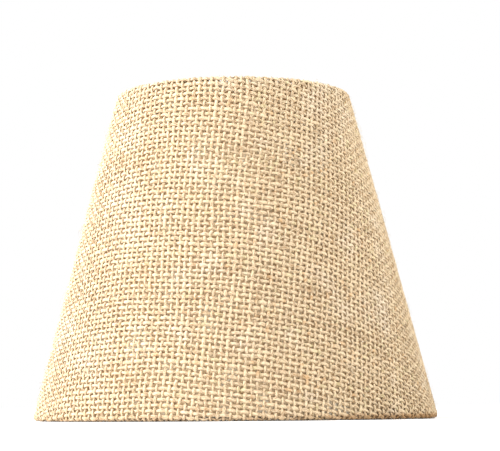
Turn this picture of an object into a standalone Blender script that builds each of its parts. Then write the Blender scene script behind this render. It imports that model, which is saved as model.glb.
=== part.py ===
"""Clip-on chandelier lamp shade: burlap over a white lining, on two wire rings.

Metres, +Z up. The origin is the centre of the plane that the bottom hem stands on.
The front is at -Y, the cloth's lapped seam is at +Y and the crossbar lies along X.
"""
import math

import bmesh
import bpy
from mathutils import Vector

# Driving dimensions
BOTTOM_RADIUS = 0.0766        # where the outside of the cone meets the base plane; its
                              # rounded hem measures 6 in across
TOP_RADIUS = 0.0442           # where it meets the top plane
SLANT = 0.1270                # along the side, from one rim to the other (5 in)
CLEARANCE = 0.0003            # between pieces that touch
SIDES = 72                    # facets round the shade

# Cloth and lining
CLOTH = 0.0010                # thickness of the burlap
LINING = 0.0004               # thickness of the white lining sheet
HEM_OUTSIDE = 0.0040          # where the cover ends and a hem begins, along the slant
HEM_RELEASE = 0.0068          # where the turned cloth has come back to the lining
HEM_INSIDE = 0.0130           # how far the turned cloth reaches along the inside
HEM_CORNER = 0.0013           # outside radius of a hem's two corners
LAP_START = 90                # degrees; the seam is at the back
LAP_WIDTH = 8                 # degrees of cloth over cloth

# Wire
RING_WIRE = 0.0010            # radius of both rings' wire
CROSSBAR_WIRE = 0.00125
LOOP_WIRE = 0.00075           # spring wire of the clip's loops

# Crossbar and clip
CROSSBAR_TOP = 0.0030         # the crossbar's ends, under the top plane
CROSSBAR_DROP = 0.0115        # from its ends to its middle
CROSSBAR_SHOULDER = 0.0350    # where its ends start to slope down
CROSSBAR_FLAT = 0.0160        # half of its straight middle
CROSSBAR_BEND = 0.0050        # radius of its bends
SLEEVE_WALL = 0.0006
SLEEVE_HALF = 0.0125          # half of the sleeve's length
LOOP_LENGTH = 0.0480
LOOP_TOP_HALF = 0.0080        # half-width of a loop where it meets the sleeve
LOOP_FOOT_HALF = 0.0150       # half-width at its round foot
LOOP_LEAN = 0.24              # outward per unit of length
LOOP_SHOULDER = 0.0030        # radius of its bends at the sleeve
LOOP_FOOT = 0.0126            # radius of its foot
LIP_LENGTH = 0.0080           # the foot's flared part
LIP_LEAN = 0.35               # further outward there, per unit of length

# What follows from them
HEIGHT = math.sqrt(SLANT ** 2 - (BOTTOM_RADIUS - TOP_RADIUS) ** 2)
TAPER = (BOTTOM_RADIUS - TOP_RADIUS) / HEIGHT
COSINE = HEIGHT / SLANT
LINING_DEPTH = CLOTH + CLEARANCE
RING_DEPTH = LINING_DEPTH + LINING + CLEARANCE + RING_WIRE
RING_INSET = CLOTH + CLEARANCE + RING_WIRE
HEM_DEPTH = RING_DEPTH + RING_WIRE + CLEARANCE + CLOTH
LEAF_DEPTH = LINING_DEPTH + LINING + CLEARANCE + CLOTH
CROSSBAR_END_Z = HEIGHT - CROSSBAR_TOP
CLIP_Z = CROSSBAR_END_Z - CROSSBAR_DROP
SLEEVE_INNER = CROSSBAR_WIRE + CLEARANCE
SLEEVE_OUTER = SLEEVE_INNER + SLEEVE_WALL
LOOP_PIVOT_Y = SLEEVE_OUTER + CLEARANCE + LOOP_WIRE


def cone_radius(z, depth=0.0):
    """Radius at height z, at a depth square to the sloping side."""
    return BOTTOM_RADIUS - TAPER * z - depth / COSINE


def rounded(points, radii, closed=False, steps=4):
    """The polyline with its corners turned into arcs; a radius of 0 keeps a corner sharp."""
    result = []
    count = len(points)
    for i in range(count):
        corner = Vector(points[i])
        if radii[i] == 0 or (not closed and i in (0, count - 1)):
            result.append(corner)
            continue
        back = (Vector(points[i - 1]) - corner).normalized()
        ahead = (Vector(points[(i + 1) % count]) - corner).normalized()
        half = back.angle(ahead) / 2
        middle = (back + ahead).normalized()
        centre = corner + middle * (radii[i] / math.sin(half))
        first = corner + back * (radii[i] / math.tan(half)) - centre
        last = corner + ahead * (radii[i] / math.tan(half)) - centre
        sweep = first.angle(last)
        for k in range(steps + 1):
            a = math.sin((1 - k / steps) * sweep) / math.sin(sweep)
            b = math.sin(k / steps * sweep) / math.sin(sweep)
            result.append(centre + first * a + last * b)
    return result


def make_material(name, color, roughness, metallic=0.0):
    material = bpy.data.materials.new(name)
    material.use_nodes = True
    shader = material.node_tree.nodes["Principled BSDF"]
    shader.inputs["Base Color"].default_value = (*color, 1.0)
    shader.inputs["Roughness"].default_value = roughness
    shader.inputs["Metallic"].default_value = metallic
    return material


def add_object(name, data, material, group, place=(0, 0, 0)):
    item = bpy.data.objects.new(name, data)
    item.location = place
    group.objects.link(item)
    if material:
        data.materials.append(material)
    return item


def mesh_from(name, points, faces=(), edges=()):
    mesh = bpy.data.meshes.new(name)
    mesh.from_pydata([tuple(p) for p in points], edges, faces)
    mesh.shade_smooth()
    mesh.set_sharp_from_angle(angle=math.radians(40))
    return mesh


def add_thickness(item, thickness):
    shell = item.modifiers.new("Thickness", "SOLIDIFY")
    shell.thickness = thickness
    shell.offset = -1
    shell.use_even_offset = True


def turn(item):
    """Turn an outline in the XZ plane round the shade's axis."""
    screw = item.modifiers.new("Turn", "SCREW")
    screw.axis = "Z"
    screw.steps = SIDES
    screw.render_steps = SIDES
    screw.use_merge_vertices = True
    screw.merge_threshold = 0.00005
    screw.use_normal_calculate = False


def turned_shell(name, outline, thickness, material, group):
    """A sheet turned round the axis; the outline runs down its outer side."""
    points = [(p[0], 0, p[1]) for p in outline]
    edges = [(i, i + 1) for i in range(len(points) - 1)]
    item = add_object(name, mesh_from(name, points, edges=edges), material, group)
    turn(item)
    add_thickness(item, thickness)
    return item


def hem_outline(height_of):
    """Round a hem's skin: down the side, across the rim, and in over the lining."""
    corners = [
        (HEM_OUTSIDE * COSINE, 0.0),
        (0.0, 0.0),
        (0.0, HEM_DEPTH),
        (RING_INSET + RING_WIRE + CLOTH, HEM_DEPTH),
        (HEM_RELEASE, LEAF_DEPTH),
        (HEM_INSIDE, LEAF_DEPTH),
    ]
    points = [(cone_radius(height_of(d), depth), height_of(d)) for d, depth in corners]
    return rounded(points, [0, HEM_CORNER, HEM_CORNER, 0, 0, 0])


def make_cover(material, group):
    """The burlap sheet, bent to a cone, with one end lapped over the other at the back."""
    low = (HEM_OUTSIDE + CLEARANCE) * COSINE
    high = HEIGHT - low
    rise = CLOTH + CLEARANCE
    step = 360 // SIDES
    turns = [(LAP_START + step * i, 0.0) for i in range(SIDES - 1)]
    turns += [(LAP_START + 352, 0.0), (LAP_START + 359, rise), (LAP_START + 360, rise)]
    turns += [(LAP_START + 365, rise), (LAP_START + 360 + LAP_WIDTH, rise)]
    points = []
    for degrees, out in turns:
        angle = math.radians(degrees)
        for z in (low, high):
            radius = cone_radius(z, -out)
            points.append((radius * math.cos(angle), radius * math.sin(angle), z))
    faces = [(2 * i, 2 * i + 2, 2 * i + 3, 2 * i + 1) for i in range(len(turns) - 1)]
    item = add_object("burlap_cover", mesh_from("burlap_cover", points, faces), material, group)
    add_thickness(item, CLOTH)


def make_lining(material, group):
    low = RING_INSET - RING_WIRE
    high = HEIGHT - low
    outline = [(cone_radius(z, LINING_DEPTH), z) for z in (high, low)]
    turned_shell("lining", outline, LINING, material, group)


def make_hems(material, group, cutters):
    """The cloth's edges, turned round the rings. The upper one is notched for the crossbar."""
    turned_shell("bottom_hem", hem_outline(lambda d: d), CLOTH, material, group)
    over = hem_outline(lambda d: HEIGHT - d)
    upper = turned_shell("top_hem", over[::-1], CLOTH, material, group)
    mesh = bpy.data.meshes.new("crossbar_notch")
    shape = bmesh.new()
    reach = 2 * (cone_radius(CROSSBAR_END_Z, RING_DEPTH) - RING_WIRE + CLEARANCE)
    width = CROSSBAR_WIRE + 1.2 * CLEARANCE
    bmesh.ops.create_cone(
        shape, cap_ends=True, segments=16, radius1=width, radius2=width, depth=reach)
    shape.to_mesh(mesh)
    shape.free()
    cutter = add_object("crossbar_notch", mesh, None, cutters, (0, 0, CROSSBAR_END_Z))
    cutter.rotation_euler = (0, math.pi / 2, 0)
    cutter.hide_render = True
    cutter.display_type = "WIRE"
    cut = upper.modifiers.new("Crossbar notch", "BOOLEAN")
    cut.object = cutter
    cut.operation = "DIFFERENCE"
    cut.solver = "EXACT"


def make_ring(name, z, material, group):
    bpy.ops.mesh.primitive_torus_add(
        major_segments=SIDES, minor_segments=10, location=(0, 0, z),
        major_radius=cone_radius(z, RING_DEPTH), minor_radius=RING_WIRE)
    ring = bpy.context.object
    ring.name = name
    ring.data.name = name
    ring.data.shade_smooth()
    ring.data.materials.append(material)
    for other in ring.users_collection:
        other.objects.unlink(ring)
    group.objects.link(ring)


def make_wire(name, points, radius, material, group, closed=False, place=(0, 0, 0)):
    curve = bpy.data.curves.new(name, "CURVE")
    curve.dimensions = "3D"
    curve.bevel_depth = radius
    curve.bevel_resolution = 2
    curve.use_fill_caps = not closed
    spline = curve.splines.new("POLY")
    spline.points.add(len(points) - 1)
    for target, point in zip(spline.points, points):
        target.co = (*point, 1.0)
    spline.use_cyclic_u = closed
    spline.use_smooth = True
    add_object(name, curve, material, group, place)


def make_crossbar(material, group):
    """One wire from side to side of the top ring, dropped in the middle."""
    end = cone_radius(HEIGHT - RING_INSET, RING_DEPTH) - RING_WIRE - CLEARANCE
    half = [(CROSSBAR_FLAT, CLIP_Z), (CROSSBAR_SHOULDER, CROSSBAR_END_Z), (end, CROSSBAR_END_Z)]
    corners = [(-x, z) for x, z in reversed(half)] + half
    path = rounded(corners, [0] + 4 * [CROSSBAR_BEND] + [0])
    make_wire("crossbar", [(p[0], 0, p[1]) for p in path], CROSSBAR_WIRE, material, group)


def make_sleeve(material, group):
    """The tube that turns on the crossbar's straight middle."""
    mesh = bpy.data.meshes.new("pivot_sleeve")
    shape = bmesh.new()
    bmesh.ops.create_cone(
        shape, cap_ends=False, segments=20, radius1=SLEEVE_OUTER, radius2=SLEEVE_OUTER,
        depth=2 * SLEEVE_HALF)
    shape.to_mesh(mesh)
    shape.free()
    mesh.shade_smooth()
    sleeve = add_object("pivot_sleeve", mesh, material, group, (0, 0, CLIP_Z))
    sleeve.rotation_euler = (0, math.pi / 2, 0)
    add_thickness(sleeve, SLEEVE_WALL)


def make_loop(name, side, material, group):
    """A closed spring-wire loop. Its top lies along the sleeve and is its hinge axis."""
    corners = [
        (-LOOP_TOP_HALF, 0.0),
        (LOOP_TOP_HALF, 0.0),
        (LOOP_FOOT_HALF, LOOP_LENGTH),
        (-LOOP_FOOT_HALF, LOOP_LENGTH),
    ]
    radii = 2 * [LOOP_SHOULDER] + 2 * [LOOP_FOOT]
    outline = rounded(corners, radii, closed=True, steps=9)
    lip_start = LOOP_LENGTH - LIP_LENGTH
    points = []
    for x, down in outline:
        out = LOOP_LEAN * down + LIP_LEAN * max(0.0, down - lip_start)
        points.append((x, side * out, -down))
    place = (0, side * LOOP_PIVOT_Y, CLIP_Z)
    make_wire(name, points, LOOP_WIRE, material, group, closed=True, place=place)


def build():
    for item in list(bpy.data.objects):
        bpy.data.objects.remove(item)
    group = bpy.data.collections.new("lamp_shade")
    cutters = bpy.data.collections.new("cutters")
    for collection in (group, cutters):
        bpy.context.scene.collection.children.link(collection)

    burlap = make_material("burlap", (0.80, 0.62, 0.38), 0.92)
    hem_cloth = make_material("hem_burlap", (0.74, 0.55, 0.32), 0.92)
    lining = make_material("white_lining", (0.90, 0.89, 0.85), 0.45)
    enamel = make_material("white_enamel", (0.86, 0.85, 0.82), 0.35)
    brass = make_material("brass_plate", (0.80, 0.58, 0.28), 0.28, 1.0)
    spring = make_material("brass_spring_wire", (0.82, 0.61, 0.31), 0.25, 1.0)

    make_cover(burlap, group)
    make_lining(lining, group)
    make_hems(hem_cloth, group, cutters)
    make_ring("bottom_ring", RING_INSET, enamel, group)
    make_ring("top_ring", HEIGHT - RING_INSET, enamel, group)
    make_crossbar(brass, group)
    make_sleeve(brass, group)
    make_loop("clip_loop_front", -1, spring, group)
    make_loop("clip_loop_back", 1, spring, group)


build()
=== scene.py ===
import math

import bmesh
import bpy
from mathutils import Matrix, Vector


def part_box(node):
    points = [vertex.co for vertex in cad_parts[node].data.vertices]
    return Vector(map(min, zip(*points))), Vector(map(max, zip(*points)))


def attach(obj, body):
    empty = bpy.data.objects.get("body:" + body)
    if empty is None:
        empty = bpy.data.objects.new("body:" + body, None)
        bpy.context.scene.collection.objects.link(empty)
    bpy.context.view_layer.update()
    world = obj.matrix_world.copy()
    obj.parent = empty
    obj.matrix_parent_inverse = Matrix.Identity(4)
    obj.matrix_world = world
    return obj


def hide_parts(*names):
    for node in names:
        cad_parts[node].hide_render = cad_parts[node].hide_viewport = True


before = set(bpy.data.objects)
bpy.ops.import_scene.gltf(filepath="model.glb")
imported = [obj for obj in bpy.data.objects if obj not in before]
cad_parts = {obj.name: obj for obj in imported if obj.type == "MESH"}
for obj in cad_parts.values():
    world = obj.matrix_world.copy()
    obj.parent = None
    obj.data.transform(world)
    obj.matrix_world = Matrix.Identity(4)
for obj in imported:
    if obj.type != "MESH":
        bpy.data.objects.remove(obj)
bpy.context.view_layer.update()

MM = 0.001

# ---------------------------------------------------------------------------
# Camera
# It stands low in front of the shade, a little above the plane that the hem
# stands on, tipped slightly up, with a long lens.
# ---------------------------------------------------------------------------
CAMERA_DISTANCE = 641.6 * MM
CAMERA_HEIGHT = 5.6 * MM
CAMERA_PITCH = math.radians(3.44)
CAMERA_ROLL = math.radians(0.47)

forward = Vector((0, math.cos(CAMERA_PITCH), math.sin(CAMERA_PITCH)))
level_up = Vector((0, -math.sin(CAMERA_PITCH), math.cos(CAMERA_PITCH)))
level_right = Vector((1, 0, 0))
camera_up = level_up * math.cos(CAMERA_ROLL) + level_right * math.sin(CAMERA_ROLL)
camera_right = level_right * math.cos(CAMERA_ROLL) - level_up * math.sin(CAMERA_ROLL)

camera_data = bpy.data.cameras.new("camera")
camera_data.lens = 121.5
camera_data.shift_x = 0.0306
camera_data.shift_y = 0.1556
camera = bpy.data.objects.new("camera", camera_data)
bpy.context.scene.collection.objects.link(camera)
pose = Matrix((camera_right, camera_up, -forward)).transposed().to_4x4()
pose.translation = Vector((0, -CAMERA_DISTANCE, CAMERA_HEIGHT))
camera.matrix_world = pose
bpy.context.scene.camera = camera
bpy.context.scene.view_settings.view_transform = "Standard"

# ---------------------------------------------------------------------------
# Burlap
# One piece of plain-woven jute, cut to a ring sector, glued round the lining
# with its ends lapped at the back, and turned round both wire rings and in.
# ---------------------------------------------------------------------------
RING_WIRE = 1.0 * MM          # radius of the rings' wire
RING_DEPTH = 3.0 * MM         # from the cloth's skin to the rings' centre
YARN_HEIGHT = 0.68 * MM       # thickness of one flattened yarn
LOW_MIDDLE = 0.68 * MM        # from the shade's skin to the cloth's middle, above the bottom rim
HIGH_MIDDLE = 0.28 * MM       # and below the top rim, where it stands a little proud
LOW_RIM = 0.85 * MM           # from the rim's plane to the cloth's middle
HIGH_RIM = 0.20 * MM
TURN_DEPTH = 4.70 * MM        # depth of the turned-in cloth beside a ring
LEAF_DEPTH = 2.48 * MM        # and where it lies on the lining
TURN_END = 4.4 * MM           # from the rim: where it starts to lean to the lining
LEAF_START = 7.0 * MM         # where it has reached it
LEAF_END = 13.0 * MM          # and where it is cut off
RIM_BEND = 0.6 * MM

low_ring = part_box("bottom_ring")
high_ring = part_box("top_ring")
low_ring_z = (low_ring[0].z + low_ring[1].z) / 2
high_ring_z = (high_ring[0].z + high_ring[1].z) / 2
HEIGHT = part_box("top_hem")[1].z
TAPER = (low_ring[1].x - high_ring[1].x) / (high_ring_z - low_ring_z)
COSINE = 1 / math.sqrt(1 + TAPER ** 2)
SINE = TAPER * COSINE


def cone_radius(z, depth):
    """Radius of the cone at a height, at a depth square to its skin."""
    ring = low_ring[1].x - RING_WIRE - TAPER * (z - low_ring_z)
    return ring + (RING_DEPTH - depth) / COSINE


def rounded(points, radii, steps=6):
    """The polyline with its corners turned into arcs."""
    result = []
    for i, point in enumerate(points):
        corner = Vector(point)
        if radii[i] == 0:
            result.append(corner)
            continue
        back = (Vector(points[i - 1]) - corner).normalized()
        ahead = (Vector(points[i + 1 - len(points)]) - corner).normalized()
        half = back.angle(ahead) / 2
        centre = corner + (back + ahead).normalized() * (radii[i] / math.sin(half))
        first = corner + back * (radii[i] / math.tan(half)) - centre
        last = corner + ahead * (radii[i] / math.tan(half)) - centre
        sweep = first.angle(last)
        for k in range(steps + 1):
            share = k / steps
            a = math.sin((1 - share) * sweep) / math.sin(sweep)
            b = math.sin(share * sweep) / math.sin(sweep)
            result.append(centre + first * a + last * b)
    return result


def guide_curve(name, points):
    """A plain curve that only guides Geometry Nodes. It is removed after the stray fibres."""
    curve = bpy.data.curves.new(name, "CURVE")
    curve.dimensions = "3D"
    spline = curve.splines.new("POLY")
    spline.points.add(len(points) - 1)
    for target, point in zip(spline.points, points):
        target.co = (point[0], 0, point[1], 1)
    guide = bpy.data.objects.new(name, curve)
    bpy.context.scene.collection.objects.link(guide)
    return guide


def lengths_of(points):
    return [(b - a).length for a, b in zip(points, points[1:])]


turned_in = [(LEAF_END, LEAF_DEPTH), (LEAF_START, LEAF_DEPTH), (TURN_END, TURN_DEPTH)]
high = turned_in + [(HIGH_RIM, TURN_DEPTH), (HIGH_RIM, HIGH_MIDDLE)]
low = turned_in + [(LOW_RIM, TURN_DEPTH), (LOW_RIM, LOW_MIDDLE)]
route = [(cone_radius(HEIGHT - d, depth), HEIGHT - d) for d, depth in high]
route += [(cone_radius(d, depth), d) for d, depth in reversed(low)]
half_bends = [0, 3 * MM, 2 * MM, RIM_BEND, RIM_BEND]
route = rounded(route, half_bends + half_bends[::-1])
ROUTE_LENGTH = sum(lengths_of(route))
longest = lengths_of(route).index(max(lengths_of(route)))
SIDE_START = sum(lengths_of(route)[:longest])
SIDE_LENGTH = lengths_of(route)[longest]
# Distance from the flat pattern's apex to the edge that ends up inside the top.
FLAT_START = route[longest].x / SINE - SIDE_START
route_guide = guide_curve("route_guide", route)

# The seam: the last of the cloth climbs on to its first end and is folded under.
LAP_ANGLE = math.radians(172) * SINE      # in the flat pattern
FIRST_ANGLE = math.radians(-184) * SINE
LAP_LEAD = 2 * MM             # of the guide before the lap starts
LAP_CLIMB = 2.6 * MM          # length over which it climbs
LAP_RISE = 1.5 * MM           # how high the upper layer lies
LAP_WIDTH = 12 * MM
LAP_BEND = 1.5 * MM
LAP_PRESS = 0.85              # share of its rise left out of the upright direction
FOLD_HEIGHT = 0.6 * MM        # how high the folded-under end lies
FOLD_END = 6 * MM             # where that end stops
FOLD_BEND = 0.43 * MM
lap = [(-LAP_LEAD, 0), (0, 0), (LAP_CLIMB, LAP_RISE), (LAP_WIDTH, LAP_RISE)]
lap += [(LAP_WIDTH, FOLD_HEIGHT), (FOLD_END, FOLD_HEIGHT)]
lap = rounded(lap, [0, LAP_BEND, LAP_BEND, FOLD_BEND, FOLD_BEND, 0])
LAP_LENGTH = sum(lengths_of(lap))
lap_guide = guide_curve("lap_guide", lap)


class Value:
    """A socket in a node tree. Arithmetic on it adds Math nodes to the tree."""

    def __init__(self, net, socket):
        self.net = net
        self.socket = socket

    def math(self, operation, *others):
        vector = self.socket.type == "VECTOR"
        kind = "ShaderNodeVectorMath" if vector else "ShaderNodeMath"
        given = {0: self}
        for place, other in enumerate(others, 1):
            plain = isinstance(other, (int, float))
            given[place] = (other,) * 3 if vector and plain else other
        output = "Value" if operation == "LENGTH" else 0
        return self.net.node(kind, {"operation": operation}, given, output)

    def also(self, name):
        """Another output of the same node."""
        return Value(self.net, self.socket.node.outputs[name])

    def __add__(self, other):
        return self.math("ADD", other)

    __radd__ = __add__

    def __sub__(self, other):
        return self.math("SUBTRACT", other)

    def __rsub__(self, other):
        return self * -1 + other

    def __mul__(self, other):
        if self.socket.type == "VECTOR" and isinstance(other, Value):
            return self.net.node(
                "ShaderNodeVectorMath", {"operation": "SCALE"}, {0: self, "Scale": other})
        return self.math("MULTIPLY", other)

    __rmul__ = __mul__

    def __truediv__(self, other):
        return self.math("DIVIDE", other)

    def __gt__(self, other):
        return self.math("GREATER_THAN", other)

    def __lt__(self, other):
        return self.math("LESS_THAN", other)

    def parts(self):
        split = self.net.node("ShaderNodeSeparateXYZ", {}, {0: self})
        return split, split.also("Y"), split.also("Z")


class Net:
    """A node tree that is being filled."""

    def __init__(self, tree):
        self.tree = tree

    def node(self, kind, settings, given, output=0):
        """Add a node, set and link it up, and give back one of its outputs."""
        made = self.tree.nodes.new(kind)
        for name, setting in settings.items():
            if name == "stops":
                for stop, (place, color) in enumerate(setting):
                    if stop > 1:
                        made.color_ramp.elements.new(place)
                    made.color_ramp.elements[stop].position = place
                    made.color_ramp.elements[stop].color = (*color, 1)
            else:
                setattr(made, name, setting)
        for name, value in given.items():
            if isinstance(value, Value):
                self.tree.links.new(value.socket, made.inputs[name])
            else:
                made.inputs[name].default_value = value
        return None if output is None else Value(self, made.outputs[output])

    def vector(self, x, y, z):
        return self.node("ShaderNodeCombineXYZ", {}, {"X": x, "Y": y, "Z": z})

    def noise(self, vector, scale, detail=2.0):
        return self.node("ShaderNodeTexNoise", {}, {
            "Vector": vector, "Scale": scale, "Detail": detail})

    def sample(self, guide, length):
        """Position and tangent at a length along a guide curve."""
        shape = self.node("GeometryNodeObjectInfo", {}, {"Object": guide}, "Geometry")
        place = self.node("GeometryNodeSampleCurve", {"mode": "LENGTH"}, {
            "Curves": shape, "Length": length}, "Position")
        return place, place.also("Tangent")


def bent_to_shade(net, flat):
    """Where a point of the flat cloth (across, down, height above it) is on the shade."""
    across, down, height = flat.parts()
    reach = (across * across + down * down).math("SQRT")
    angle = across.math("ARCTAN2", down)
    along_lap = (angle - LAP_ANGLE) * reach
    in_lap = along_lap > -LAP_LEAD
    spot, heading = net.sample(lap_guide, along_lap + LAP_LEAD)
    spot_x, _, spot_z = spot.parts()
    heading_x, _, heading_z = heading.parts()
    shift = in_lap * (spot_x - heading_z * height - along_lap)
    lift = in_lap * (spot_z + heading_x * height - height) + height
    pressed = lift - in_lap * spot_z * LAP_PRESS
    turn = (angle + shift / reach) / SINE
    spot, heading = net.sample(route_guide, reach - FLAT_START)
    spot_x, _, spot_z = spot.parts()
    heading_x, _, heading_z = heading.parts()
    radius = spot_x - heading_z * lift
    return net.vector(
        radius * turn.math("SINE"), radius * turn.math("COSINE") * -1, spot_z + heading_x * pressed)


# The weave. One repeat is two picks by two ends; the cloth hangs a few degrees off grain.
ENDS_PITCH = 2.16 * MM
PICKS_PITCH = 1.95 * MM
PICKS_TILT = math.radians(7.2)
ENDS_TILT = math.radians(4.4)
ONE_END = Vector((math.cos(PICKS_TILT), math.sin(PICKS_TILT), 0)) * ENDS_PITCH
ONE_PICK = Vector((-math.sin(ENDS_TILT), math.cos(ENDS_TILT), 0)) * PICKS_PITCH
CLOTH_MIDDLE = Vector((0, 213 * MM, 0))
SAMPLES = 4                   # points from one crossing to the next
YARN_SIDES = 6
NOTCH = 1.9 * MM              # half-width of the cut for the crossbar
NOTCH_AT = 9.3 * MM           # where it is along the cloth's route
DRIFT = 2.6 * MM              # of the loom's slow wander
FRAY = 1.6 * MM               # unevenness of the two turned-in edges

weave = bpy.data.node_groups.new("Weave", "GeometryNodeTree")
for socket_name, socket_kind in (
    ("Crossings", "NodeSocketInt"), ("Yarns", "NodeSocketInt"),
    ("Step Along", "NodeSocketVector"), ("Step Across", "NodeSocketVector"),
    ("Parity", "NodeSocketInt"), ("Yarn Width", "NodeSocketFloat"),
    ("Panel Middle", "NodeSocketFloat"), ("Seed", "NodeSocketFloat"),
    ("Material", "NodeSocketMaterial"),
):
    weave.interface.new_socket(socket_name, in_out="INPUT", socket_type=socket_kind)
weave.interface.new_socket("Geometry", in_out="OUTPUT", socket_type="NodeSocketGeometry")
net = Net(weave)
crossings = net.node("NodeGroupInput", {}, {}, "Crossings")
parity = crossings.also("Parity")
seed = crossings.also("Seed")

# Straight rows of points, one row a yarn. X counts crossings and Y counts yarns.
rows = net.node("GeometryNodeMeshGrid", {}, {
    "Size X": crossings, "Size Y": crossings.also("Yarns") - 1,
    "Vertices X": crossings * SAMPLES + 1, "Vertices Y": crossings.also("Yarns")})
rows = net.node("GeometryNodeDeleteGeometry", {"domain": "FACE", "mode": "ONLY_FACE"}, {
    "Geometry": rows})
ends = net.node("GeometryNodeInputMeshEdgeVertices", {}, {}, "Position 1")
_, rise, _ = (ends - ends.also("Position 2")).parts()
rows = net.node("GeometryNodeDeleteGeometry", {"domain": "EDGE", "mode": "EDGE_FACE"}, {
    "Geometry": rows, "Selection": rise.math("ABSOLUTE") > 0.5})


def on_flat(step, yarn):
    """The flat cloth's point at a crossing number along a yarn, as woven before it drifts."""
    return (crossings.also("Step Along") * step + crossings.also("Step Across") * yarn
            + tuple(CLOTH_MIDDLE))


step, yarn, _ = net.node("GeometryNodeInputPosition", {}, {}).parts()
# Each panel takes a yarn from one place where it dives under to another, so that cuts don't show.
top_step = ((step + yarn - parity) / 2).math("ROUND") * 2 + parity - yarn
top_across, top_down, _ = on_flat(top_step, yarn).parts()
azimuth = top_across.math("ARCTAN2", top_down) / SINE
off_panel = (azimuth - crossings.also("Panel Middle")).math("WRAP", math.pi, -math.pi)
rows = net.node("GeometryNodeDeleteGeometry", {"domain": "EDGE", "mode": "EDGE_FACE"}, {
    "Geometry": rows, "Selection": off_panel.math("ABSOLUTE") > math.pi / 4})

# Where yarn lies: the loom's slow drift, its own wander, and over and under at the crossings.
woven = on_flat(step, yarn)
drift = net.noise(woven, 26.0, 1.0).also("Color")
drift = net.node("ShaderNodeVectorMath", {"operation": "SUBTRACT"}, {0: drift, 1: (0.5,) * 3})
own = net.vector(step * 0.16, yarn * 3.7 + seed, 0.0)
own_wander = net.noise(own, 1.0, 3.0) - 0.5
across_step = crossings.also("Step Across")
crimp = ((step + yarn - parity) * math.pi).math("COSINE") * (YARN_HEIGHT * 0.5)
kink = net.noise(net.vector(step * 1.1, yarn * 6.1 + seed + 20.0, 0.0), 1.0, 1.0) - 0.5
placed = woven + drift * DRIFT * (1.0, 1.0, 0.0)
placed = placed + across_step * (own_wander * 0.55 + kink * 0.4) + net.vector(0.0, 0.0, crimp)

slub = net.noise(net.vector(step * 0.28, yarn * 5.3 + seed + 40.0, 0.0), 1.0, 2.0) - 0.5
knot = net.noise(net.vector(step * 1.6, yarn * 2.9 + seed + 80.0, 0.0), 1.0, 2.0) - 0.5
own_size = net.node("ShaderNodeTexWhiteNoise", {"noise_dimensions": "1D"}, {"W": yarn + seed})
thickness = 0.83 + own_size * 0.28 + slub * 0.8 + knot * 0.9

tone = net.noise(net.vector(step * 0.05, yarn * 4.1 + seed + 9.0, 0.0), 1.0, 2.0)
for name, value in (("tone", tone), ("thickness", thickness), ("along", step), ("yarn", yarn)):
    rows = net.node("GeometryNodeStoreNamedAttribute", {"data_type": "FLOAT", "domain": "POINT"}, {
        "Geometry": rows, "Name": name, "Value": value})
rows = net.node("GeometryNodeSetPosition", {}, {"Geometry": rows, "Position": placed})

# Cut the cloth out: the ring sector, and the two notches that let the crossbar through.
across, down, _ = net.node("GeometryNodeInputPosition", {}, {}).parts()
reach = (across * across + down * down).math("SQRT")
angle = across.math("ARCTAN2", down)
along_route = reach - FLAT_START
in_notch = ((along_route - NOTCH_AT).math("ABSOLUTE") < NOTCH) * (
    (angle / SINE).math("COSINE").math("ABSOLUTE") * cone_radius(HEIGHT, TURN_DEPTH) < NOTCH)
fray = net.noise(net.vector(step * 0.9, yarn * 1.7 + seed, 0.0), 1.0, 1.0) * FRAY
outside = ((along_route < fray) + (along_route > fray * -1 + ROUTE_LENGTH) + (angle < FIRST_ANGLE)
           + ((angle - LAP_ANGLE) * reach > LAP_LENGTH - LAP_LEAD) + in_notch)
rows = net.node("GeometryNodeDeleteGeometry", {"domain": "POINT", "mode": "ALL"}, {
    "Geometry": rows, "Selection": outside > 0.5})

# Sweep each yarn as a flattened tube, then bend the whole cloth round the shade.
lines = net.node("GeometryNodeMeshToCurve", {}, {"Mesh": rows})
lines = net.node("GeometryNodeSetCurveNormal", {"mode": "Z_UP"}, {"Curve": lines})
ring = net.node("GeometryNodeCurvePrimitiveCircle", {}, {"Resolution": YARN_SIDES, "Radius": 0.5})
place = net.node("GeometryNodeInputPosition", {}, {})
ring = net.node(
    "GeometryNodeStoreNamedAttribute", {"data_type": "FLOAT_VECTOR", "domain": "POINT"}, {
        "Geometry": ring, "Name": "around", "Value": place})
ring = net.node("GeometryNodeTransform", {}, {
    "Geometry": ring, "Scale": net.vector(crossings.also("Yarn Width"), YARN_HEIGHT, 1.0)})
own_thickness = net.node("GeometryNodeInputNamedAttribute", {"data_type": "FLOAT"}, {
    "Name": "thickness"})
cloth = net.node("GeometryNodeCurveToMesh", {}, {
    "Curve": lines, "Profile Curve": ring, "Scale": own_thickness, "Fill Caps": True})
place = net.node("GeometryNodeInputPosition", {}, {})
cloth = net.node("GeometryNodeSetPosition", {}, {
    "Geometry": cloth, "Position": bent_to_shade(net, place)})
cloth = net.node("GeometryNodeRealizeInstances", {}, {"Geometry": cloth})
cloth = net.node("GeometryNodeSetShadeSmooth", {}, {"Geometry": cloth})
cloth = net.node("GeometryNodeSetMaterial", {}, {
    "Geometry": cloth, "Material": crossings.also("Material")})
net.node("NodeGroupOutput", {}, {"Geometry": cloth}, None)


def material_net(name):
    """A new material's tree and its shader node."""
    material = bpy.data.materials.new(name)
    material.use_nodes = True
    shader = material.node_tree.nodes["Principled BSDF"]
    return material, Net(material.node_tree), shader


def mix(net, share, first, second):
    """A colour between two colours."""
    return net.node("ShaderNodeMix", {"data_type": "RGBA"}, {0: share, 6: first, 7: second}, 2)


def ramp(net, value, *stops):
    return net.node("ShaderNodeValToRGB", {"stops": stops}, {"Fac": value})


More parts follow.
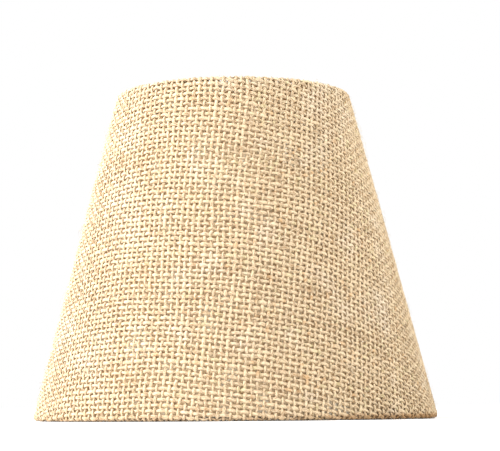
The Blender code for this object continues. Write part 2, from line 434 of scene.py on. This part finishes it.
def spread(net, value, low, high):
    """0 below low, 1 above high."""
    return net.node("ShaderNodeMapRange", {}, {
        "Value": value, "From Min": low, "From Max": high})


jute, net, shader = material_net("jute")


def attribute(net, name, output="Fac"):
    return net.node("ShaderNodeAttribute", {"attribute_name": name}, {}, output)


along = attribute(net, "along")
yarn = attribute(net, "yarn")
around_x, around_y, _ = attribute(net, "around", "Vector").parts()
twist = along * 1.3
twist_sine, twist_cosine = twist.math("SINE"), twist.math("COSINE")
strand_x = around_x * twist_cosine - around_y * twist_sine
strand_y = around_x * twist_sine + around_y * twist_cosine
lengthwise = along * 0.9 + yarn * 23.0
fibres = net.noise(net.vector(strand_x * 7.0, strand_y * 7.0, lengthwise), 1.0, 3.0)
strands = net.noise(net.vector(strand_x * 2.4, strand_y * 2.4, lengthwise * 1.5), 1.0, 1.0)
blotch = net.noise(net.vector(along * 0.7, yarn * 3.1, 0.0), 1.0, 3.0)
place = net.node("ShaderNodeTexCoord", {}, {}, "Object")
bleach = net.noise(place, 70.0, 3.0)
to_the_right, _, above_floor = place.parts()
color = ramp(
    net, fibres * 0.2 + strands * 0.6 + attribute(net, "tone") * 0.2,
    (0.40, (0.46, 0.31, 0.17)), (0.58, (0.89, 0.75, 0.55)), (0.48, (0.76, 0.60, 0.39)))
color = mix(net, spread(net, blotch, 0.60, 0.70) * 0.5, color, (0.62, 0.35, 0.14, 1))
color = mix(net, spread(net, blotch, 0.42, 0.32) * 0.35, color, (0.62, 0.57, 0.28, 1))
color = mix(net, spread(net, bleach, 0.54, 0.72) * 0.34, color, (0.84, 0.74, 0.60, 1))
# Painted shade: the cloth is darkened to brown along the very bottom of the hem, more so towards the
# right, away from the key light.
tarnish_and_painted_shade = spread(net, above_floor, 2.7 * MM, 1.3 * MM) * (
    spread(net, to_the_right, 12 * MM, 60 * MM) * 0.68 + 0.2)
color = mix(net, tarnish_and_painted_shade, color, (0.42, 0.23, 0.09, 1))
net.tree.links.new(color.socket, shader.inputs["Base Color"])
shader.inputs["Roughness"].default_value = 0.85
shader.inputs["Specular IOR Level"].default_value = 0.3
shader.inputs["Sheen Weight"].default_value = 0.04
bump = net.node("ShaderNodeBump", {}, {
    "Height": fibres * 0.5 + strands, "Strength": 1.0, "Distance": 0.35 * MM})
net.tree.links.new(bump.socket, shader.inputs["Normal"])


def geometry_nodes_mesh(name, tree, values):
    """A plain mesh object from a Geometry Nodes tree with these inputs."""
    maker = bpy.data.objects.new(name + "_maker", bpy.data.meshes.new(name + "_maker"))
    bpy.context.scene.collection.objects.link(maker)
    nodes = maker.modifiers.new(name, "NODES")
    nodes.node_group = tree
    for item in tree.interface.items_tree:
        if item.in_out == "INPUT" and item.name in values:
            nodes[item.identifier] = values[item.name]
    graph = bpy.context.evaluated_depsgraph_get()
    mesh = bpy.data.meshes.new_from_object(maker.evaluated_get(graph))
    maker.modifiers.remove(nodes)
    bpy.data.objects.remove(maker)
    mesh.name = name
    made = bpy.data.objects.new(name, mesh)
    bpy.context.scene.collection.objects.link(made)
    return made


picks = {
    "Crossings": 224, "Yarns": 151, "Step Along": ONE_END, "Step Across": ONE_PICK,
    "Parity": 0, "Yarn Width": 1.28 * MM, "Seed": 3.0, "Material": jute}
warp = {
    "Crossings": 160, "Yarns": 225, "Step Along": ONE_PICK, "Step Across": ONE_END,
    "Parity": 1, "Yarn Width": 1.06 * MM, "Seed": 61.0, "Material": jute}
inner_edge = FLAT_START
outer_edge = FLAT_START + ROUTE_LENGTH
quarter = math.pi / 2 * SINE
lap_extra = (LAP_ANGLE - FIRST_ANGLE) - 4 * quarter + (LAP_LENGTH - LAP_LEAD) / (
    (inner_edge + outer_edge) / 2)
for side, middle, extra in (
    ("front", 0, 0), ("right", 90, 0), ("back", 180, lap_extra), ("left", -90, 0),
):
    for set_name, settings in (("picks", picks), ("ends", warp)):
        settings["Panel Middle"] = math.radians(middle)
        piece = geometry_nodes_mesh(f"burlap_{side}_{set_name}", weave, settings)
        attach(piece, "shade")
        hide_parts("burlap_cover", "top_hem", "bottom_hem")
    opening = quarter + extra
    flat_width = 2 * outer_edge * math.sin(opening / 2)
    flat_length = outer_edge - inner_edge * math.cos(opening / 2)
    flat_area = (outer_edge ** 2 - inner_edge ** 2) * opening / 2

# ---------------------------------------------------------------------------
# Stray fibres
# Jute is hairy: short ends of fibre stand out of the yarns all over the cloth.
# They are pale and thinner at the tip, and lie in nearly every direction.
# ---------------------------------------------------------------------------
FIBRE_COUNT = 3600
FIBRE_RADIUS = 0.04 * MM
FLOOR_GAP = 0.06 * MM         # least height of a fibre's middle line above the floor
fuzz = bpy.data.node_groups.new("Stray fibres", "GeometryNodeTree")
for socket_name, socket_kind in (
    ("Count", "NodeSocketInt"), ("Radius", "NodeSocketFloat"), ("Seed", "NodeSocketFloat"),
    ("Material", "NodeSocketMaterial"),
):
    fuzz.interface.new_socket(socket_name, in_out="INPUT", socket_type=socket_kind)
fuzz.interface.new_socket("Geometry", in_out="OUTPUT", socket_type="NodeSocketGeometry")
net = Net(fuzz)
count = net.node("NodeGroupInput", {}, {}, "Count")
line = net.node("GeometryNodeCurvePrimitiveLine", {}, {"End": (1, 0, 0)})
line = net.node("GeometryNodeResampleCurve", {}, {"Curve": line, "Count": 8})
roots = net.node("GeometryNodePoints", {}, {"Count": count})
hairs = net.node("GeometryNodeInstanceOnPoints", {}, {"Points": roots, "Instance": line})
hairs = net.node("GeometryNodeRealizeInstances", {}, {"Geometry": hairs})
own = net.node("GeometryNodeCurveOfPoint", {}, {}, "Curve Index")
t = net.node("GeometryNodeSplineParameter", {}, {}, "Factor")


def three_random(number):
    """Three random numbers for each fibre, from 0 to 1."""
    noise = net.node("ShaderNodeTexWhiteNoise", {"noise_dimensions": "1D"}, {
        "W": own + count.also("Seed") * number}, "Color")
    return noise.parts()


round_the_shade, down_the_side, lie = three_random(1.37)
length, curl, rise = three_random(2.71)
swing, taper, tone = three_random(3.93)
angle = (round_the_shade - 0.5) * (math.tau * SINE)
reach = down_the_side * (SIDE_LENGTH + 3 * MM) + (FLAT_START + SIDE_START - 1.5 * MM)
heading = (lie > 0.5) * (math.pi / 2) + PICKS_TILT + (swing - 0.5) * 1.5
length = length * length * (6.5 * MM) + 1.4 * MM
ahead = length * t
aside = length * t * t * (curl - 0.5) * 1.1
height = (t * (math.pi * 0.8)).math("SINE") * (rise * rise * rise * 1.2 + 0.22) * MM + 0.42 * MM
across = angle.math("SINE") * reach + ahead * heading.math("COSINE") - aside * heading.math("SINE")
down = angle.math("COSINE") * reach + ahead * heading.math("SINE") + aside * heading.math("COSINE")
hairs = net.node("GeometryNodeSetPosition", {}, {
    "Geometry": hairs, "Position": bent_to_shade(net, net.vector(across, down, height))})
bent_x, bent_y, bent_z = net.node("GeometryNodeInputPosition", {}, {}).parts()
off_the_floor = net.vector(bent_x, bent_y, bent_z.math("MAXIMUM", FLOOR_GAP))
hairs = net.node("GeometryNodeSetPosition", {}, {"Geometry": hairs, "Position": off_the_floor})
hairs = net.node("GeometryNodeStoreNamedAttribute", {"data_type": "FLOAT", "domain": "POINT"}, {
    "Geometry": hairs, "Name": "tone", "Value": tone})
ring = net.node("GeometryNodeCurvePrimitiveCircle", {}, {
    "Resolution": 3, "Radius": count.also("Radius")})
hairs = net.node("GeometryNodeCurveToMesh", {}, {
    "Curve": hairs, "Profile Curve": ring, "Scale": (taper * 0.6 + 0.7) * (1 - t * 0.65),
    "Fill Caps": True})
hairs = net.node("GeometryNodeRealizeInstances", {}, {"Geometry": hairs})
hairs = net.node("GeometryNodeSetShadeSmooth", {}, {"Geometry": hairs})
hairs = net.node("GeometryNodeSetMaterial", {}, {
    "Geometry": hairs, "Material": count.also("Material")})
net.node("NodeGroupOutput", {}, {"Geometry": hairs}, None)

stray_jute, net, shader = material_net("stray_jute")
place = net.node("ShaderNodeTexCoord", {}, {}, "Object")
shade = net.noise(place, 700.0, 2.0)
color = ramp(
    net, attribute(net, "tone") * 0.7 + shade * 0.3, (0.15, (0.62, 0.45, 0.23)),
    (0.85, (0.90, 0.79, 0.58)))
net.tree.links.new(color.socket, shader.inputs["Base Color"])
net.tree.links.new((shade * 0.3 + 0.55).socket, shader.inputs["Roughness"])
fibres = geometry_nodes_mesh("stray_fibres", fuzz, {
    "Count": FIBRE_COUNT, "Radius": FIBRE_RADIUS, "Seed": 5.0, "Material": stray_jute})
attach(fibres, "shade")
for guide in (route_guide, lap_guide):
    bpy.data.objects.remove(guide)

# ---------------------------------------------------------------------------
# Lining
# A sheet of white lampshade film, rolled to the cone and lapped on the inside.
# Outside it is yellowed by the glue and jute dust that hold the burlap on it.
# ---------------------------------------------------------------------------
FILM = 0.36 * MM
FILM_DEPTH = 1.34 * MM        # from the burlap's skin to the film's outer face
FILM_EDGE = 1.6 * MM          # from a rim to the film's cut edge
FILM_LAP_START = 128          # degrees, from the front towards +X
FILM_LAP = 8
FILM_CLIMB_START = 358.5      # degrees of turn, where the upper layer starts to climb
FILM_CLIMB = 2.0              # degrees over which it climbs
FILM_LAP_GAP = 0.05 * MM
FILM_COLUMNS = 184
FILM_ROWS = 10

shape = bmesh.new()
columns = []
for i in range(FILM_COLUMNS + 1):
    turned = (360 + FILM_LAP) * i / FILM_COLUMNS
    azimuth = math.radians(FILM_LAP_START + turned)
    climb = min(1.0, max(0.0, (turned - FILM_CLIMB_START) / FILM_CLIMB))
    depth = FILM_DEPTH + climb * (FILM + FILM_LAP_GAP)
    column = []
    for k in range(FILM_ROWS + 1):
        z = FILM_EDGE + (HEIGHT - 2 * FILM_EDGE) * k / FILM_ROWS
        radius = cone_radius(z, depth)
        column.append(shape.verts.new((radius * math.sin(azimuth), -radius * math.cos(azimuth), z)))
    columns.append(column)
for left, right in zip(columns, columns[1:]):
    for k in range(FILM_ROWS):
        shape.faces.new((left[k], right[k], right[k + 1], left[k + 1]))
film_mesh = bpy.data.meshes.new("lining_film")
shape.to_mesh(film_mesh)
shape.free()
film_mesh.shade_smooth()
film = bpy.data.objects.new("lining_film", film_mesh)
bpy.context.scene.collection.objects.link(film)
wall = film.modifiers.new("Wall", "SOLIDIFY")
wall.thickness = FILM
wall.offset = -1
wall.material_offset = 1
wall.material_offset_rim = 1

glued_side, net, shader = material_net("lining_glued_side")
place = net.node("ShaderNodeTexCoord", {}, {}, "Object")
glue = net.noise(place, 95.0, 4.0)
dust = net.noise(place, 900.0, 3.0)
color = ramp(
    net, dust,
    (0.32, (0.56, 0.37, 0.19)), (0.66, (0.95, 0.81, 0.57)), (0.5, (0.87, 0.69, 0.44)))
color = mix(net, spread(net, glue, 0.56, 0.66), color, (0.96, 0.88, 0.71, 1))
net.tree.links.new(color.socket, shader.inputs["Base Color"])
net.tree.links.new((0.75 - spread(net, glue, 0.54, 0.62) * 0.3).socket, shader.inputs["Roughness"])
bump = net.node("ShaderNodeBump", {}, {"Height": glue + dust * 0.2, "Distance": 0.3 * MM})
net.tree.links.new(bump.socket, shader.inputs["Normal"])
film_mesh.materials.append(glued_side)

white_film, net, shader = material_net("white_film")
place = net.node("ShaderNodeTexCoord", {}, {}, "Object")
cloud = net.noise(place, 30.0, 3.0)
grain = net.noise(place, 1400.0, 2.0)
color = ramp(net, cloud * 0.7 + grain * 0.3, (0.3, (0.86, 0.84, 0.79)), (0.7, (0.93, 0.92, 0.89)))
net.tree.links.new(color.socket, shader.inputs["Base Color"])
net.tree.links.new((cloud * 0.25 + 0.35).socket, shader.inputs["Roughness"])
bump = net.node("ShaderNodeBump", {}, {"Height": grain, "Strength": 0.35, "Distance": 0.05 * MM})
net.tree.links.new(bump.socket, shader.inputs["Normal"])
film_mesh.materials.append(white_film)
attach(film, "shade")
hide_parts("lining")

# ---------------------------------------------------------------------------
# Rings
# Two rings of steel wire, dipped in white enamel. The cloth is turned round
# them, so that they only show between its yarns.
# ---------------------------------------------------------------------------
enamel, net, shader = material_net("ring_enamel")
place = net.node("ShaderNodeTexCoord", {}, {}, "Object")
dip = net.noise(place, 400.0, 3.0)
color = ramp(net, dip, (0.35, (0.80, 0.78, 0.72)), (0.65, (0.90, 0.89, 0.86)))
net.tree.links.new(color.socket, shader.inputs["Base Color"])
net.tree.links.new((dip * 0.3 + 0.2).socket, shader.inputs["Roughness"])
bump = net.node("ShaderNodeBump", {}, {"Height": dip, "Strength": 0.4, "Distance": 0.1 * MM})
net.tree.links.new(bump.socket, shader.inputs["Normal"])
for name in ("top_ring", "bottom_ring"):
    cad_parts[name].data.materials.clear()
    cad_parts[name].data.materials.append(enamel)

# ---------------------------------------------------------------------------
# Crossbar
# One brass-plated steel wire, welded by its ends to the top ring and dropped
# in the middle to carry the clip.
# ---------------------------------------------------------------------------
CROSSBAR_WIRE = 1.25 * MM
CROSSBAR_FLAT = 16 * MM       # half of its straight middle
CROSSBAR_SHOULDER = 35 * MM
CROSSBAR_BEND = 5 * MM
WELD_FLARE = 1.65             # of the wire's radius, where it meets the ring
WELD_LENGTH = 1.8 * MM
WELD_STEPS = 5
BAR_INSET = 1.9               # of the ring wire's radius, from the ring's outside to the bar's end
SHARP_ANGLE = math.radians(50)

sleeve_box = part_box("pivot_sleeve")
clip_z = (sleeve_box[0].z + sleeve_box[1].z) / 2


def wire_piece(name, points, radius, closed, flare=None):
    """A round wire along the points, as a closed mesh."""
    curve = bpy.data.curves.new(name, "CURVE")
    curve.dimensions = "3D"
    curve.bevel_depth = radius
    curve.bevel_resolution = 6
    curve.use_fill_caps = not closed
    spline = curve.splines.new("POLY")
    spline.points.add(len(points) - 1)
    for target, point in zip(spline.points, points):
        target.co = (*point, 1.0)
        target.radius = flare(point) if flare else 1.0
    spline.use_cyclic_u = closed
    maker = bpy.data.objects.new(name + "_maker", curve)
    bpy.context.scene.collection.objects.link(maker)
    graph = bpy.context.evaluated_depsgraph_get()
    mesh = bpy.data.meshes.new_from_object(maker.evaluated_get(graph))
    bpy.data.objects.remove(maker)
    shape = bmesh.new()
    shape.from_mesh(mesh)
    bmesh.ops.remove_doubles(shape, verts=shape.verts, dist=0.001 * MM)
    bmesh.ops.recalc_face_normals(shape, faces=shape.faces)
    shape.to_mesh(mesh)
    shape.free()
    mesh.name = name
    mesh.shade_smooth()
    mesh.set_sharp_from_angle(angle=SHARP_ANGLE)
    made = bpy.data.objects.new(name, mesh)
    bpy.context.scene.collection.objects.link(made)
    return made


def brass(name, color, tarnish, shine):
    """Softly polished plating, dulled and browned in places."""
    material, net, shader = material_net(name)
    place = net.node("ShaderNodeTexCoord", {}, {}, "Object")
    cloud = net.noise(place, 160.0, 4.0)
    specks = net.noise(place, 1500.0, 2.0)
    tarnish_and_painted_shade = spread(net, cloud * 0.8 + specks * 0.2, 0.45, 0.68)
    net.tree.links.new(mix(net, tarnish_and_painted_shade, color, tarnish).socket, shader.inputs["Base Color"])
    net.tree.links.new((tarnish_and_painted_shade * 0.22 + specks * 0.1 + shine).socket, shader.inputs["Roughness"])
    shader.inputs["Metallic"].default_value = 1.0
    bump = net.node("ShaderNodeBump", {}, {
        "Height": specks, "Strength": 0.3, "Distance": 0.03 * MM})
    net.tree.links.new(bump.socket, shader.inputs["Normal"])
    return material


plating = brass("brass_plating", (0.82, 0.60, 0.30, 1), (0.58, 0.38, 0.16, 1), 0.18)
bar_end = high_ring[1].x - BAR_INSET * RING_WIRE
half_bar = [(CROSSBAR_FLAT, clip_z), (CROSSBAR_SHOULDER, high_ring_z)]
half_bar += [(bar_end - WELD_LENGTH, high_ring_z)]
bar = [(-x, z) for x, z in reversed(half_bar)] + half_bar
bar = rounded(bar, [0] + 4 * [CROSSBAR_BEND] + [0], 10)
flares = [
    (bar_end - WELD_LENGTH * (1 - k / WELD_STEPS), high_ring_z) for k in range(1, WELD_STEPS + 1)]
bar = [(-x, z) for x, z in reversed(flares)] + bar + flares
crossbar = wire_piece(
    "crossbar_wire", [(p[0], 0, p[1]) for p in bar], CROSSBAR_WIRE, False,
    lambda p: 1 + (WELD_FLARE - 1) * max(0.0, 1 - (bar_end - abs(p[0])) / WELD_LENGTH) ** 2)
crossbar.data.materials.append(plating)
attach(crossbar, "shade")
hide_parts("crossbar")

# ---------------------------------------------------------------------------
# Clip sleeve
# A brass strip rolled round the crossbar, open along a slit underneath, on
# which the clip tilts. A saddle soldered over it curls round both loops' tops.
# ---------------------------------------------------------------------------
SLEEVE_WALL = 0.6 * MM
SLEEVE_HALF = 12.5 * MM
SLEEVE_RADIUS = 1.85 * MM     # to the middle of its wall
SLEEVE_SLIT = 0.5 * MM
LOOP_WIRE = 0.75 * MM
SADDLE_WALL = 0.4 * MM
SADDLE_HALF = 3.6 * MM
SADDLE_SINK = 0.03 * MM       # how far the saddle is sunk into the sleeve
CURL_GAP = 0.1 * MM           # between a loop's wire and the curl round it
SADDLE_RADIUS = SLEEVE_RADIUS + SLEEVE_WALL / 2 + SADDLE_WALL / 2 - SADDLE_SINK
CURL_RADIUS = LOOP_WIRE + CURL_GAP + SADDLE_WALL / 2
CURL_END = math.radians(243)

front_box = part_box("clip_loop_front")
pivot_y = -(front_box[1].y - LOOP_WIRE)


def arc(centre, radius, start, end, steps):
    """Points (y, z) on an arc; angles are from straight up towards +Y."""
    angles = [start + (end - start) * k / steps for k in range(steps + 1)]
    return [(centre + radius * math.sin(a), radius * math.cos(a)) for a in angles]


def curled_strip(shape, middle, wall, half_width):
    """Add a strip of sheet metal that follows points (y, z) and is straight along X."""
    edges = []
    for i, point in enumerate(middle):
        before = Vector(middle[max(i - 1, 0)])
        after = Vector(middle[min(i + 1, len(middle) - 1)])
        run = (after - before).normalized()
        out = Vector((-run.y, run.x)) * (wall / 2)
        edges.append((Vector(point) + out, Vector(point) - out))
    outline = [pair[0] for pair in edges] + [pair[1] for pair in reversed(edges)]
    ends = []
    for x in (-half_width, half_width):
        ends.append([shape.verts.new((x, p.x, p.y + clip_z)) for p in outline])
    count = len(outline)
    for i in range(count):
        j = (i + 1) % count
        shape.faces.new((ends[0][i], ends[0][j], ends[1][j], ends[1][i]))
    half = count // 2
    for end in ends:
        for i in range(half - 1):
            shape.faces.new((end[i], end[i + 1], end[count - 2 - i], end[count - 1 - i]))


shape = bmesh.new()
slit = math.asin(SLEEVE_SLIT / 2 / SLEEVE_RADIUS)
curled_strip(shape, arc(0, SLEEVE_RADIUS, slit - math.pi, math.pi - slit, 48),
             SLEEVE_WALL, SLEEVE_HALF)
tangent = math.asin((SADDLE_RADIUS - CURL_RADIUS) / pivot_y)
saddle = arc(-pivot_y, CURL_RADIUS, -CURL_END, -tangent, 18)
saddle += arc(0, SADDLE_RADIUS, -tangent, tangent, 8)
saddle += arc(pivot_y, CURL_RADIUS, tangent, CURL_END, 18)
curled_strip(shape, saddle, SADDLE_WALL, SADDLE_HALF)
bmesh.ops.recalc_face_normals(shape, faces=shape.faces)
sleeve_mesh = bpy.data.meshes.new("clip_sleeve")
shape.to_mesh(sleeve_mesh)
shape.free()
sleeve_mesh.shade_smooth()
sleeve = bpy.data.objects.new("clip_sleeve", sleeve_mesh)
bpy.context.scene.collection.objects.link(sleeve)
edge = sleeve.modifiers.new("Rounded edges", "BEVEL")
edge.width = 0.12 * MM
edge.segments = 2
edge.limit_method = "ANGLE"
edge.angle_limit = SHARP_ANGLE
edge.harden_normals = True
sleeve_mesh.materials.append(plating)
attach(sleeve, "clip")
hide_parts("pivot_sleeve")

# ---------------------------------------------------------------------------
# Clip loops
# Two closed loops of brass-plated spring wire that grip the bulb between them.
# Each turns in the saddle's curl by its straight top; the foot flares outwards.
# ---------------------------------------------------------------------------
LOOP_LENGTH = 48 * MM
LOOP_TOP_HALF = 8 * MM
LOOP_FOOT_HALF = 15 * MM
LOOP_SHOULDER = 3 * MM        # radius of its bends at the saddle
LOOP_FOOT = 12.6 * MM         # radius of its foot
LOOP_STEP = 1.5 * MM          # between points along the wire
LOOP_LEAN = 0.24              # outward per unit of length
LIP_LENGTH = 8 * MM
LIP_LEAN = 0.35               # further outward there, per unit of length
LIP_BEND = 3 * MM             # length over which the flare begins

spring = brass("brass_spring", (0.84, 0.63, 0.32, 1), (0.60, 0.41, 0.18, 1), 0.15)
corners = [(-LOOP_TOP_HALF, 0), (LOOP_TOP_HALF, 0)]
corners += [(LOOP_FOOT_HALF, LOOP_LENGTH), (-LOOP_FOOT_HALF, LOOP_LENGTH)]
outline = rounded(corners, [LOOP_SHOULDER, LOOP_SHOULDER, LOOP_FOOT, LOOP_FOOT], 20)
sides = []
for start, end in zip(outline, outline[1:] + outline[:1]):
    pieces = max(1, round((end - start).length / LOOP_STEP))
    sides += [start.lerp(end, k / pieces) for k in range(pieces)]
for side, name in ((-1, "front"), (1, "back")):
    points = []
    for x, down in sides:
        past = down - (LOOP_LENGTH - LIP_LENGTH)
        flare = past if past > LIP_BEND / 2 else max(0, past + LIP_BEND / 2) ** 2 / (2 * LIP_BEND)
        points.append((x, side * (pivot_y + LOOP_LEAN * down + LIP_LEAN * flare), clip_z - down))
    loop = wire_piece(f"spring_loop_{name}", points, LOOP_WIRE, True)
    loop.data.materials.append(spring)
    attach(loop, f"{name}_jaw")
    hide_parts(f"clip_loop_{name}")

# ---------------------------------------------------------------------------
# Studio
# A plain white floor that doesn't hide the shade from below, a large soft key
# light from the left, a small one high on the right, and a white surround.
# ---------------------------------------------------------------------------
SURROUND = 0.44               # light from the surround, which looks plain white itself
GLOW_START = 0.25             # metres from the shade, where the floor starts to glow
GLOW_FULL = 1.0


def area_light(name, azimuth, elevation, distance, size, power, color):
    """A round soft light aimed at the shade; azimuth is from the front towards +X, in degrees."""
    data = bpy.data.lights.new(name, "AREA")
    data.shape = "DISK"
    data.size = size
    data.energy = power
    data.color = color
    lamp = bpy.data.objects.new(name, data)
    turned, raised = math.radians(azimuth), math.radians(elevation)
    away = Vector((
        math.sin(turned) * math.cos(raised), -math.cos(turned) * math.cos(raised), math.sin(raised)))
    lamp.location = away * distance + Vector((0, 0, HEIGHT / 2))
    lamp.rotation_euler = away.to_track_quat("Z", "Y").to_euler()
    bpy.context.scene.collection.objects.link(lamp)


area_light("key", -85, 24, 1.3, 1.0, 35.5, (1.0, 1.0, 1.05))
area_light("top_front", 42, 54, 1.3, 0.36, 14.5, (1.0, 0.98, 0.96))

world = bpy.data.worlds.new("surround")
world.use_nodes = True
net = Net(world.node_tree)
seen = net.node("ShaderNodeLightPath", {}, {}, "Is Camera Ray")
background = world.node_tree.nodes["Background"]
background.inputs["Color"].default_value = (1, 1, 1, 1)
net.tree.links.new((seen * (1 - SURROUND) + SURROUND).socket, background.inputs["Strength"])
bpy.context.scene.world = world

bpy.ops.mesh.primitive_plane_add(size=12.0)
floor = bpy.context.object
floor.name = "floor"
paper, net, shader = material_net("white_paper")
shader.inputs["Base Color"].default_value = (0.93, 0.93, 0.93, 1)
shader.inputs["Roughness"].default_value = 1.0
shader.inputs["Specular IOR Level"].default_value = 0.0
shader.inputs["Emission Strength"].default_value = 0.6
place = net.node("ShaderNodeTexCoord", {}, {}, "Object")
far_off = spread(net, place.math("LENGTH"), GLOW_START, GLOW_FULL)
glow = mix(net, far_off, (0, 0, 0, 1), (1, 1, 1, 1))
net.tree.links.new(glow.socket, shader.inputs["Emission Color"])
from_below = net.node("ShaderNodeNewGeometry", {}, {}, "Backfacing")
clear = net.node("ShaderNodeBsdfTransparent", {}, {})
top_face = Value(net, shader.outputs["BSDF"])
surface = net.node("ShaderNodeMixShader", {}, {0: from_below, 1: top_face, 2: clear})
output = paper.node_tree.nodes["Material Output"]
net.tree.links.new(surface.socket, output.inputs["Surface"])
floor.data.materials.append(paper)
